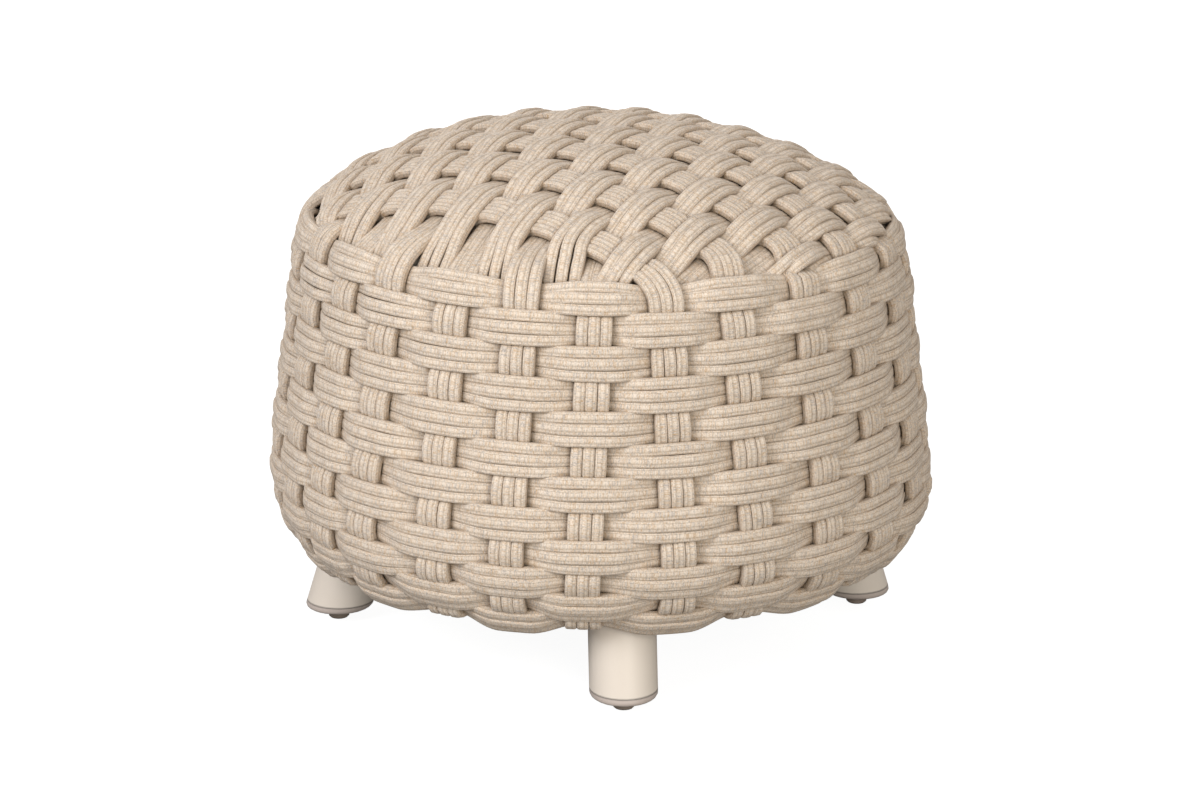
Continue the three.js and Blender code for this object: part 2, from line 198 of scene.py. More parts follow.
@dataclass
class CoverShape:
    """Outer surface of the woven cover, as a profile turned about the Z axis.

    A place on the cover is a point of a flat map. Its direction from the map's middle is the
    azimuth, and its distance is the way along the profile from the crown of the top. The top
    and the first row lean a little to one side, by a slope that fades out down the side. On
    that side the lower corner is a little fuller.
    """

    dome_radius: float = 248.07
    dome_edge: float = 364.55
    dome_height: float = 67.8
    dome_power: float = 2.67
    dome_kept: float = 0.86
    dome_samples: int = 120
    shoulder_samples: int = 24
    side_heights: tuple[float, ...] = (345, 320, 280, 240, 200, 172, 145, 120, 100, 85, 72)
    side_radii: tuple[float, ...] = (
        256.2, 261.9, 266.5, 272.0, 278.0, 281.3, 283.0, 280.9, 273.6, 264.2, 254.0)
    side_start: float = 200.0
    lip_radii: tuple[float, ...] = (249.5, 246.0, 242.0, 238.6, 236.6, 236.2, 236.4)
    lip_heights: tuple[float, ...] = (69.0, 67.5, 67.2, 69.2, 74.0, 81.0, 90.0)
    lean_turn: float = math.radians(40.0)
    lean: float = -0.016
    lean_end: Pair = (282.0, 332.0)
    corner: float = 5.5
    corner_top: Pair = (150.0, 120.0)
    corner_foot: Pair = (66.0, 90.0)
    softness: float = 3.6
    pitch: float = 0.5

    def __post_init__(self) -> None:
        """Samples the profile evenly and finds its normals.

        The dome falls by its height times the radius share to a power, and a cubic joins it
        to the stations of the side. All is softened by a running mean weighted as a bell.
        """
        share = np.linspace(0, self.dome_kept, self.dome_samples)
        fall = self.dome_height * (1 - share ** self.dome_power)
        dome = np.stack([share * self.dome_radius, self.dome_edge + fall], axis=1)
        side = np.stack([self.side_radii, self.side_heights], axis=1)
        shoulder = cubic(dome[-1], unit(dome[-1] - dome[-2]), side[0], unit(side[1] - side[0]),
                         self.shoulder_samples)
        lip = np.stack([self.lip_radii, self.lip_heights], axis=1)
        line = np.concatenate([dome, shoulder, side, lip])
        way = ways_along(line)
        even = np.arange(0, way[-1], self.pitch)
        line = np.stack([np.interp(even, way, line[:, axis]) for axis in (0, 1)], axis=1)
        reach = int(3 * self.softness / self.pitch)
        bell = np.exp(-0.5 * (np.arange(-reach, reach + 1) * self.pitch / self.softness) ** 2)
        before = line[reach:0:-1] * (-1, 1)
        beyond = line[-1] + np.arange(1, reach + 1)[:, None] * (line[-1] - line[-2])
        line = np.concatenate([before, line, beyond])
        self.radius, self.height = (
            np.convolve(line[:, axis], bell / bell.sum(), "valid") for axis in (0, 1))
        self.way = ways_along(np.stack([self.radius, self.height], axis=1))
        slope_r, slope_z = np.gradient(self.radius), np.gradient(self.height)
        length = np.hypot(slope_r, slope_z)
        self.normal_r, self.normal_z = -slope_z / length, slope_r / length

    def way_at(self, height: float) -> float:
        """Way from the crown down to a height on the side."""
        side = self.way > self.side_start
        return float(np.interp(-height, -self.height[side], self.way[side]))

    def radius_at(self, way: Array) -> Array:
        """Radius of the profile at a way from the crown."""
        return np.interp(way, self.way, self.radius)

    def place(self, points: Array, lift: Array) -> tuple[Array, Array]:
        """Carries map points onto the cover.

        Args:
            points: Map points, two values each.
            lift: Height of each above the outer surface, along the normal.

        Returns:
            Points in space and the surface normals there.
        """
        way = np.linalg.norm(points, axis=-1)
        radius, height, normal_r, normal_z = (
            np.interp(way, self.way, values)[..., None]
            for values in (self.radius, self.height, self.normal_r, self.normal_z))
        out = unit(points)
        normal = np.concatenate([out * normal_r, normal_z], axis=-1)
        base = np.concatenate([out * radius, height], axis=-1)
        lean_way = np.array([math.cos(self.lean_turn), math.sin(self.lean_turn)])
        aside = base[..., :2] @ lean_way
        base[..., 2] += self.lean * aside * (1 - fade(way, *self.lean_end))
        low = (fade(height, *self.corner_top) * fade(height, *self.corner_foot))[..., 0]
        full = low * np.clip(aside / radius.max(), 0, 1) ** 2 * self.corner
        base[..., :2] += full[..., None] * lean_way
        return base + normal * lift[..., None], normal

    def aside(self, points: Array, closed: bool) -> Array:
        """Map steps that shift each point of a path sideways by one true unit.

        Args:
            points: Map points of a path.
            closed: Whether the path's end meets its start.

        Returns:
            One sideways map step for each point.
        """
        along, out = steps(points, closed), unit(points)
        way = np.linalg.norm(points, axis=1)
        round_ = np.stack([-out[:, 1], out[:, 0]], axis=1)
        stretch = np.maximum(self.radius_at(way) / np.maximum(way, TINY), SMALL)
        outward = (along * out).sum(1)
        roundwise = (along * round_).sum(1) * stretch
        length = np.hypot(outward, roundwise)
        return (out * (-roundwise / length)[:, None]
                + round_ * (outward / length / stretch)[:, None])


@dataclass
class Cord:
    """One rope of a band: its middle line, the normals along it and where its yarn starts."""

    points: Array
    normals: Array
    closed: bool
    start: float


@dataclass
class RopeSweep:
    """Carries a cord's rounded section along its middle line."""

    half_width: float = 4.85
    half_height: float = 4.2
    squareness: float = 4.8
    sides: int = 18
    step: float = 4.4
    cap_step: float = 1.4
    cap_size: float = 0.72
    map_unit: float = 100.0

    def section(self) -> tuple[Array, Array]:
        """Section of a cord: a circle raised to a power, so that its sides are a little flat.

        Returns:
            Sideways and outward distances of the section's points.
        """
        turn = np.arange(self.sides) / self.sides * TURN
        side, out = (np.sign(wave) * np.abs(wave) ** (2 / self.squareness)
                     for wave in (np.cos(turn), np.sin(turn)))
        return side * self.half_width, out * self.half_height

    def build(self, name: str, cords: list[Cord]) -> Object:
        """Makes one mesh of several cords.

        Each ring of points is the section, turned to the cord's direction and to the cover's
        normal. Neighbouring rings are joined by four-sided faces, and open ends are closed by
        a smaller ring and one flat face. The first map axis is the way along the cord in
        decimetres and the second is the turn round it.

        Args:
            name: Name of the piece.
            cords: The cords of the piece.

        Returns:
            The new object.
        """
        side, out = self.section()
        n = self.sides
        corner = np.arange(n)
        after_corner = (corner + 1) % n
        verts, quads, caps, uvs = [], [], [], []
        base = 0
        for cord in cords:
            points = cord.points
            along = unit(steps(points, cord.closed))
            outward = unit(cord.normals - (cord.normals * along).sum(1, keepdims=True) * along)
            across = np.cross(along, outward)
            size = np.ones(len(points))
            if not cord.closed:
                points = np.concatenate([points[:1] - along[:1] * self.cap_step, points,
                                         points[-1:] + along[-1:] * self.cap_step])
                across, outward = (
                    np.pad(lines, ((1, 1), (0, 0)), "edge") for lines in (across, outward))
                size = np.pad(size, 1, constant_values=self.cap_size)
            ring = (points[:, None] + across[:, None] * (side * size[:, None])[..., None]
                    + outward[:, None] * (out * size[:, None])[..., None])
            verts.append(ring.reshape(-1, 3))
            count = len(points)
            way = cord.start + ways_along(points)
            if cord.closed:
                way = np.append(way, way[-1] + np.linalg.norm(points[0] - points[-1]))
            rows = np.arange(count if cord.closed else count - 1)
            here, there = base + rows[:, None] * n, base + (rows[:, None] + 1) % count * n
            quads.append(np.stack([here + corner, here + after_corner,
                                   there + after_corner, there + corner], axis=-1).reshape(-1, 4))
            u = np.stack([way[rows], way[rows], way[rows + 1], way[rows + 1]], axis=-1)
            v = np.stack([corner, corner + 1, corner + 1, corner], axis=-1) / n
            uv = np.stack(np.broadcast_arrays(u[:, None] / self.map_unit, v), axis=-1)
            uvs.append(uv.reshape(-1, 2))
            if not cord.closed:
                caps += [base + corner[::-1], base + (count - 1) * n + corner]
            base += count * n
        return self.mesh(name, np.concatenate(verts), np.concatenate(quads), caps,
                         np.concatenate(uvs))

    @staticmethod
    def mesh(name: str, verts: Array, quads: Array, caps: list[Array],
             uvs: Array) -> Object:
        """Writes the arrays into a mesh and links its object.

        Args:
            name: Name of the piece.
            verts: Points in millimetres.
            quads: Four-sided faces.
            caps: End faces with as many corners as the section.
            uvs: Map coordinates of the four-sided faces' corners.

        Returns:
            The new object.
        """
        mesh = bpy.data.meshes.new(name)
        mesh.vertices.add(len(verts))
        mesh.vertices.foreach_set("co", (verts * MM).astype(np.float32).ravel())
        loops, totals = quads.ravel(), np.full(len(quads), 4)
        if caps:
            loops = np.concatenate([loops, *caps])
            totals = np.append(totals, np.full(len(caps), len(caps[0])))
        mesh.loops.add(len(loops))
        mesh.loops.foreach_set("vertex_index", loops.astype(np.int32))
        mesh.polygons.add(len(totals))
        starts = np.append(0, np.cumsum(totals)[:-1])
        mesh.polygons.foreach_set("loop_start", starts.astype(np.int32))
        mesh.polygons.foreach_set("loop_total", totals.astype(np.int32))
        mesh.polygons.foreach_set("use_smooth", np.ones(len(totals), dtype=bool))
        full = np.zeros((len(loops), 2), dtype=np.float32)
        full[:len(uvs)] = uvs
        mesh.uv_layers.new(name="rope_map").data.foreach_set("uv", full.ravel())
        mesh.update(calc_edges=True)
        mesh.validate()
        return linked(name, mesh)


@dataclass(frozen=True)
class BandForm:
    """How a family of bands lies: depths of its cords' middles and the way between its cords.

    The depths are measured inwards from the outline. The crown is how much further in the two
    outer cords of a band lie than its middle one, where the band is outside. The rise is the
    part of the way from a crossing behind to the next one in front where the band comes out.
    A lift is a side of the weave, from -1 behind to +1 in front.
    """

    over_depth: float
    under_depth: float
    over_pitch: float
    under_pitch: float
    crown: float
    rise: Pair

    def depth(self, lift: Array, cord: int) -> Array:
        """Depth of a cord, which is -1, 0 or +1, for a lift."""
        over = self.over_depth + self.crown * abs(cord)
        return self.under_depth + (over - self.under_depth) * (lift + 1) / 2

    def pitch(self, lift: Array) -> Array:
        """Way between two cords for a lift."""
        return self.under_pitch + (self.over_pitch - self.under_pitch) * (lift + 1) / 2


@dataclass(frozen=True)
class Upright:
    """A band's run down the side: its azimuths at the first and last full row, in degrees."""

    first: float
    last: float
    starts_over: bool

    def side(self, row: int) -> Pass:
        """Where it lies at a row."""
        return Pass.OVER if self.starts_over == (row % 2 == 0) else Pass.UNDER


@dataclass
class Crossing:
    """A place along a band where it meets another one."""

    way: float
    side: Pass


@dataclass
class WovenCover:
    """The cover: rows round the side, bands over the top, and the uprights that join them.

    Twenty-six upright bands pass through twelve rows. On the top they go on as bands of two
    families that cross at right angles and lie over and under each other in turn, but for one
    odd crossing. The azimuths are those of the uprights at the first and the last full row,
    in degrees; on the hidden half they stand evenly. The straight part of a band ends at its
    family's leave, and it is upright from the join way on. Each fade is two ways from the
    crown, but for the tail's, which is counted from the last row. A drift is the largest
    random shift. Its waves are the number of swings on a path, and its wave is the number of
    points for one swing.
    """

    shape: CoverShape
    sweep: RopeSweep
    row_form: BandForm = BandForm(2.7, 13.6, 9.3, 8.5, 1.3, (0.1, 0.78))
    upright_form: BandForm = BandForm(3.9, 12.6, 9.6, 9.1, 0.6, (0.13, 0.87))
    close_form: BandForm = BandForm(3.0, 16.6, 8.8, 8.2, 2.0, (0.06, 0.9))
    spaced_form: BandForm = BandForm(6.4, 13.6, 9.0, 8.7, 0.4, (0.17, 0.83))
    swell: Pair = (0.06, 0.94)
    row_heights: tuple[float, ...] = (
        350.0, 325.3, 299.9, 274.6, 248.6, 222.9, 196.8, 171.2, 146.6, 122.2, 99.2)
    last_row_step: float = 23.1
    close_turn: float = math.radians(97.56)
    close_pitch: float = 25.52
    close_start: float = 57.6
    close_numbers: range = range(-13, 8)
    close_joined: range = range(-8, 3, 2)
    spaced_pitch: float = 60.02
    spaced_start: float = -186.3
    spaced_numbers: range = range(7)
    odd_crossing: tuple[int, int] = (6, 1)
    near_azimuths: tuple[Pair, ...] = (
        (-116.0, -116.0), (-103.1, -105.4), (-91.2, -94.2), (-77.0, -78.8), (-64.0, -65.6),
        (-50.8, -52.9))
    right_azimuths: tuple[Pair, ...] = (
        (-38.3, -36.8), (-25.4, -22.9), (-9.9, -8.4), (4.0, 5.5), (20.5, 20.5), (35.0, 35.0),
        (49.5, 49.5))
    hidden_azimuth: float = 63.41
    hidden_step: float = 13.922
    close_leave: float = 206.0
    spaced_leave: float = 226.0
    join_way: float = 284.0
    turn_samples: int = 78
    upright_fade: Pair = (225.0, 275.0)
    tail_fade: Pair = (-1.0, 13.0)
    tail_way: float = 19.0
    rim_margin: float = 14.0
    tuck_margin: float = 12.0
    tuck_fade: Pair = (257.0, 273.0)
    tuck_end: float = 286.0
    tuck_depth: float = 17.5
    tuck_pitch: float = 11.0
    shortest_half: float = 30.0
    fewest_points: int = 8
    fan_fade: Pair = (204.0, 238.0)
    fan_room: float = 24.0
    fan_pitch: float = 8.2
    row_drift: float = 0.5
    tuck_drift: float = 0.4
    tuck_waves: int = 9
    row_waves: int = 5
    pitch_wave: int = 16
    cord_wave: int = 12
    pitch_drift: float = 0.25
    side_drift: float = 0.32
    depth_drift: float = 0.35
    yarn_length: float = 900.0
    seed: int = 5

    def __post_init__(self) -> None:
        """Sets out the rows' places, the uprights and the families' directions on the map.

        The uprights are listed round the stool and lie over the first row in turn. A band of
        a family has one upright at each end.
        """
        rows = [self.shape.way_at(z) for z in self.row_heights]
        self.row_ways = np.array([*rows, rows[-1] + self.last_row_step])
        seen = [*self.near_azimuths, *self.right_azimuths]
        hidden = np.round(self.hidden_azimuth + self.hidden_step * np.arange(len(seen)), 1)
        azimuths = seen + [(turn, turn) for turn in hidden.tolist()]
        self.uprights = [Upright(first, last, place % 2 == 0)
                         for place, (first, last) in enumerate(azimuths)]
        corner, half = len(self.near_azimuths), len(seen)
        near, right = self.uprights[:corner], self.uprights[corner:half]
        far, left = self.uprights[half:half + corner], self.uprights[half + corner:]
        self.ends = {
            Family.CLOSE: dict(zip(self.close_joined, zip(near, reversed(far)))),
            Family.SPACED: dict(zip(reversed(self.spaced_numbers), zip(left, reversed(right)))),
        }
        close = np.array([math.cos(self.close_turn), math.sin(self.close_turn)])
        spaced = np.array([close[1], -close[0]])
        self.axes = {Family.CLOSE: (close, spaced), Family.SPACED: (spaced, close)}
        self.random = np.random.default_rng(self.seed)

    def offset(self, family: Family, number: int) -> float:
        """Distance of a band's middle line from the middle of the map.

        Args:
            family: The band's family.
            number: Its number there.

        Returns:
            The distance, negative on the other side.
        """
        if family is Family.CLOSE:
            return self.close_start + (number + 0.5) * self.close_pitch
        return self.spaced_start + number * self.spaced_pitch

    def side(self, family: Family, number: int, other: int) -> Pass:
        """Where a band lies at its crossing with a band of the other family.

        Args:
            family: The band's family.
            number: Its number there.
            other: Number of the other band.

        Returns:
            Over and under in turn, but for the odd crossing.
        """
        if family is Family.SPACED:
            return self.side(Family.CLOSE, other, number).other
        over = (number + other) % 2 == 1 and (number, other) != self.odd_crossing
        return Pass.OVER if over else Pass.UNDER

    def wander(self, count: int, reach: int, size: float) -> Array:
        """Slow random drift: a few sine waves with random phases, summed and scaled.

        Args:
            count: Number of samples.
            reach: Number of waves over the whole length.
            size: Largest drift.

        Returns:
            One value for each sample, equal at both ends.
        """
        turn = np.linspace(0, TURN, count, endpoint=False)
        total = np.zeros(count)
        for wave in range(1, max(2, reach) + 1):
            phase, part = self.random.uniform(0, TURN), self.random.uniform(0.3, 1)
            total += np.sin(turn * wave + phase) * part
        return total / max(np.abs(total).max(), TINY) * size

    @staticmethod
    def lifts(way: Array, crossings: list[Crossing], rise: Pair) -> Array:
        """Side of the weave along a band, from -1 behind to +1 in front.

        From a crossing behind to the next one in front the value eases from -1 to +1 over the
        part of the distance that the rise gives, and is level before and after it.

        Args:
            way: Way along the band of each sample.
            crossings: The crossings along it.
            rise: Shares of the distance where the easing starts and ends.

        Returns:
            One value for each sample.
        """
        ordered = sorted(crossings, key=lambda crossing: crossing.way)
        places = np.array([crossing.way for crossing in ordered])
        values = np.array([float(crossing.side.value) for crossing in ordered])
        after = np.clip(np.searchsorted(places, way), 1, len(places) - 1)
        before = after - 1
        share = (way - places[before]) / np.maximum(places[after] - places[before], TINY)
        out = np.where(values[after] >= values[before], share, 1 - share)
        low, high = np.sort([values[before], values[after]], axis=0)
        return low + (high - low) * fade(out, *rise)

    def band(self, points: Array, lift: Array, swell: Array,
             forms: tuple[BandForm, BandForm], share: Array, closed: bool) -> list[Cord]:
        """Lays three cords side by side along a band's middle line.

        Args:
            points: Map points of the middle line.
            lift: Side of the weave at each, from -1 to +1.
            swell: The same with a slow change, for the way between the cords.
            forms: Two ways in which the band can lie.
            share: How far each point has passed from the first way to the second.
            closed: Whether the band is a ring.

        Returns:
            The three cords.
        """
        aside = self.shape.aside(points, closed)
        first, second = forms
        count = len(points)
        pitch = first.pitch(swell) * (1 - share) + second.pitch(swell) * share
        pitch = pitch + self.wander(count, count // self.pitch_wave, self.pitch_drift)
        cords = []
        for cord in (-1, 0, 1):
            drift, rise = (self.wander(count, count // self.cord_wave, size)
                           for size in (self.side_drift, self.depth_drift))
            depth = first.depth(lift, cord) * (1 - share) + second.depth(lift, cord) * share
            moved = points + aside * (cord * pitch + drift)[:, None]
            placed, normals = self.shape.place(moved, rise - depth)
            cords.append(Cord(placed, normals, closed, self.random.uniform(0, self.yarn_length)))
        return cords

    def row(self, number: int) -> list[Cord]:
        """Makes one row: a ring at its own way from the crown, swinging past each upright.

        Args:
            number: Number of the row from the top.

        Returns:
            Its cords.
        """
        way = self.row_ways[number]
        count = int(TURN * float(self.shape.radius_at(way)) / self.sweep.step)
        turn = np.linspace(0, TURN, count, endpoint=False)
        points = polar(way + self.wander(count, self.row_waves, self.row_drift), turn)
        crossings = []
        for upright in self.uprights:
            place = float(self.azimuth(upright, way)) % TURN
            side = upright.side(number).other
            crossings += [Crossing(place + shift, side) for shift in (-TURN, 0, TURN)]
        lift = self.lifts(turn, crossings, self.row_form.rise)
        swell = self.lifts(turn, crossings, self.swell)
        return self.band(points, lift, swell, (self.row_form, self.row_form), np.zeros(count), True)

    def azimuth(self, upright: Upright, way: Array) -> Array:
        """Azimuth of an upright at a way from the crown: it turns evenly down the side."""
        share = np.clip((way - self.row_ways[0]) / (self.row_ways[-2] - self.row_ways[0]), 0, 1)
        return np.radians(upright.first + (upright.last - upright.first) * share)

    def row_crossings(self, upright: Upright, distance: Array,
                      way: Array) -> list[Crossing]:
        """Crossings of an upright with the rows.

        Args:
            upright: The upright.
            distance: Distances of its band's points from the crown, rising.
            way: Way along the band at each.

        Returns:
            One crossing for each row.
        """
        return [Crossing(float(np.interp(place, distance, way)), upright.side(row))
                for row, place in enumerate(self.row_ways)]

    def joined_band(self, family: Family, number: int) -> list[Cord]:
        """Makes a band that crosses the top and runs down the side as an upright at both ends.

        Its points are as far apart as the sweep's step. Past the last row it lies behind.

        Args:
            family: The band's family.
            number: Its number in the family.

        Returns:
            The band's three cords.
        """
        path = self.joined_path(family, number)
        placed, _ = self.shape.place(path, np.full(len(path), -self.row_form.under_depth))
        uneven = ways_along(placed)
        way = np.linspace(0, uneven[-1], int(uneven[-1] / self.sweep.step))
        path = np.stack([np.interp(way, uneven, path[:, axis]) for axis in (0, 1)], axis=1)
        distance = np.linalg.norm(path, axis=1)
        crown = int(np.argmin(distance))
        first, last = self.ends[family][number]
        crossings = self.row_crossings(first, distance[crown::-1], way[crown::-1])
        crossings += self.row_crossings(last, distance[crown:], way[crown:])
        crossings += self.top_crossings(family, number, path, way)
        top_form = self.close_form if family is Family.CLOSE else self.spaced_form
        side = fade(distance, *self.upright_fade)
        lift = (self.lifts(way, crossings, top_form.rise) * (1 - side)
                + self.lifts(way, crossings, self.upright_form.rise) * side)
        swell = self.lifts(way, crossings, self.swell)
        lift = lift - (1 + lift) * fade(distance - self.row_ways[-1], *self.tail_fade)
        return self.band(path, lift, swell, (top_form, self.upright_form), side, False)

    def joined_path(self, family: Family, number: int) -> Array:
        """Middle line on the map of a band that runs down the side at both ends.

        The straight part lies along its family's direction. A cubic turns each end of it to
        the upright's azimuth while it passes over the rim.

        Args:
            family: The band's family.
            number: Its number in the family.

        Returns:
            Map points, one unit or less apart.
        """
        along, across = self.axes[family]
        offset = self.offset(family, number)
        leave = self.close_leave if family is Family.CLOSE else self.spaced_leave
        reach = half_chord(leave, offset, least=10.0)
        ways = np.arange(self.row_ways[-1] + self.tail_way, self.join_way, -1.0)
        sides = [polar(ways, self.azimuth(upright, ways)) for upright in self.ends[family][number]]
        start_out, end_out = (unit(side[-1]) for side in sides)
        start, end = across * offset - along * reach, across * offset + along * reach
        path = np.concatenate([
            sides[0],
            cubic(start_out * self.join_way, -start_out, start, along, self.turn_samples),
            start + (end - start) * np.linspace(0, 1, int(2 * reach))[:, None],
            cubic(end, along, end_out * self.join_way, end_out, self.turn_samples),
            sides[1][::-1],
        ])
        return path[np.append(True, np.linalg.norm(np.diff(path, axis=0), axis=1) > SMALL)]

    def top_crossings(self, family: Family, number: int, path: Array,
                      way: Array) -> list[Crossing]:
        """Crossings of one top band with the other family.

        Args:
            family: The band's family.
            number: Its number in the family.
            path: Its map points.
            way: Its way at each point.

        Returns:
            The crossings inside the rim.
        """
        top = np.nonzero(np.linalg.norm(path, axis=1) < self.row_ways[0] - self.rim_margin)[0]
        inside = slice(top[0], top[-1] + 1)
        ahead, way = path[inside] @ self.axes[family][0], way[inside]
        others = self.spaced_numbers if family is Family.CLOSE else self.close_numbers
        places = {other: self.offset(family.other, other) for other in others}
        return [Crossing(float(np.interp(place, ahead, way)), self.side(family, number, other))
                for other, place in places.items() if ahead[0] < place < ahead[-1]]

    def tucked_band(self, number: int) -> list[Cord]:
        """Makes a close band whose both ends go in behind the first row.

        Each cord is a straight line on the map, and sinks as it nears the rim. Between two
        bands that run down the side, it keeps halfway between them and spreads out to fill
        the room that they leave.

        Args:
            number: The band's number.

        Returns:
            Its cords, which are three but for the shortest bands.
        """
        form, offset = self.close_form, self.offset(Family.CLOSE, number)
        crossings = []
        for other in self.spaced_numbers:
            place = self.offset(Family.SPACED, other)
            if math.hypot(place, offset) < self.row_ways[0] - self.tuck_margin:
                crossings.append(Crossing(place, self.side(Family.CLOSE, number, other)))
        edge = half_chord(self.row_ways[0], offset, least=20.0)
        crossings += [Crossing(-edge, Pass.UNDER), Crossing(edge, Pass.UNDER)]
        fanned = {number - 1, number + 1} <= self.ends[Family.CLOSE].keys()
        along, across = self.axes[Family.CLOSE]
        cords = []
        for cord in (-1, 0, 1):
            reach = half_chord(self.tuck_end, offset + cord * form.over_pitch)
            if reach < self.shortest_half:
                continue
            count = max(int(2 * reach / self.sweep.step), self.fewest_points)
            ahead = np.linspace(-reach, reach, count)
            lift = self.lifts(ahead, crossings, form.rise)
            swell = self.lifts(ahead, crossings, self.swell)
            sideways = self.wander(count, self.tuck_waves, self.tuck_drift)
            sideways += offset + cord * form.pitch(swell)
            path = along * ahead[:, None] + across * sideways[:, None]
            if fanned:
                path = self.fan(path, ahead, number, cord)
            sunk = fade(np.linalg.norm(path, axis=1), *self.tuck_fade)
            depth = form.depth(lift, cord)
            placed, normals = self.shape.place(path, -depth - (self.tuck_depth - depth) * sunk)
            cords.append(Cord(placed, normals, False, self.random.uniform(0, self.yarn_length)))
        return cords

    def fan(self, path: Array, ahead: Array, number: int, cord: int) -> Array:
        """Bends a tucked cord's ends so that its band stays halfway between its neighbours.

        Args:
            path: The cord's straight map points.
            ahead: Their way along the band's family from the map's middle.
            number: The band's number.
            cord: The cord's place in the band, from -1 to +1.

        Returns:
            The bent map points.
        """
        distance = np.linalg.norm(path, axis=1)
        radius = self.shape.radius_at(distance)
        turn = np.arctan2(path[:, 1], path[:, 0])
        bent = turn.copy()
        for end in (-1, 1):
            here = ahead * end > 0
            turns = []
            for other in (number - 1, number + 1):
                line = self.joined_path(Family.CLOSE, other)
                line = line[(line @ self.axes[Family.CLOSE][0]) * end > 0]
                line_way = np.linalg.norm(line, axis=1)
                order = np.argsort(line_way)
                angle = np.unwrap(np.arctan2(line[order, 1], line[order, 0]))
                angle += TURN * np.round((turn[here].mean() - angle.mean()) / TURN)
                turns.append(np.interp(distance, line_way[order], angle))
            room = np.abs(turns[1] - turns[0]) * radius - self.fan_room
            pitch = np.clip((room - 2 * self.sweep.half_width) / 2, self.fan_pitch, self.tuck_pitch)
            aim = (turns[0] + turns[1]) / 2 + np.sign(turns[1] - turns[0]) * cord * pitch / radius
            bent[here] = (turn + (aim - turn) * fade(distance, *self.fan_fade))[here]
        return polar(distance, bent)

    def build(self, rope: Material) -> None:
        """Makes every piece of the cover and lets it stand for the CAD's plain rings.

        Args:
            rope: The rope's material.
        """
        pieces = []
        for number in range(len(self.row_ways)):
            piece = self.sweep.build(f"woven_row_{number + 1:02d}", self.row(number))
            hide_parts(f"rope_row_{number + 1:02d}")
            pieces.append(piece)
        first = self.close_numbers.start
        for family, start in ((Family.CLOSE, first), (Family.SPACED, 0)):
            for number in self.ends[family]:
                name = f"{family.value}_band_{number - start:02d}"
                pieces.append(self.sweep.build(name, self.joined_band(family, number)))
        tucked = []
        for number in self.close_numbers:
            if number not in self.ends[Family.CLOSE]:
                tucked += self.tucked_band(number)
        half = len(tucked) // 2
        for name, cords in (("tucked_bands_a", tucked[:half]), ("tucked_bands_b", tucked[half:])):
            pieces.append(self.sweep.build(name, cords))
        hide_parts("rope_top")
        for piece in pieces:
            piece.data.materials.append(rope)
            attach(piece, BODY)
            log.info("%s: %d faces", piece.name, len(piece.data.polygons))


class Value:
    """What a shader node gives: arithmetic on it adds Math nodes."""

    def __init__(self, nodes: "Nodes", socket: NodeSocket) -> None:
        """Keeps the tree's nodes and the output socket."""
        self.nodes, self.socket = nodes, socket

    def do(self, operation: str, *others: "Value | float") -> "Value":
        """Result of a Math node for this value and others after it."""
        return self.nodes.math(operation, self, *others)

    def __add__(self, other: "Value | float") -> "Value":
        """Sum of both."""
        return self.do("ADD", other)

    def __sub__(self, other: "Value | float") -> "Value":
        """This value less the other."""
        return self.do("SUBTRACT", other)

    def __rsub__(self, other: float) -> "Value":
        """A plain number less this value."""
        return self.nodes.math("SUBTRACT", other, self)

    def __mul__(self, other: "Value | float") -> "Value":
        """Product of both."""
        return self.do("MULTIPLY", other)

    def __pow__(self, other: float) -> "Value":
        """This value to a power."""
        return self.do("POWER", other)


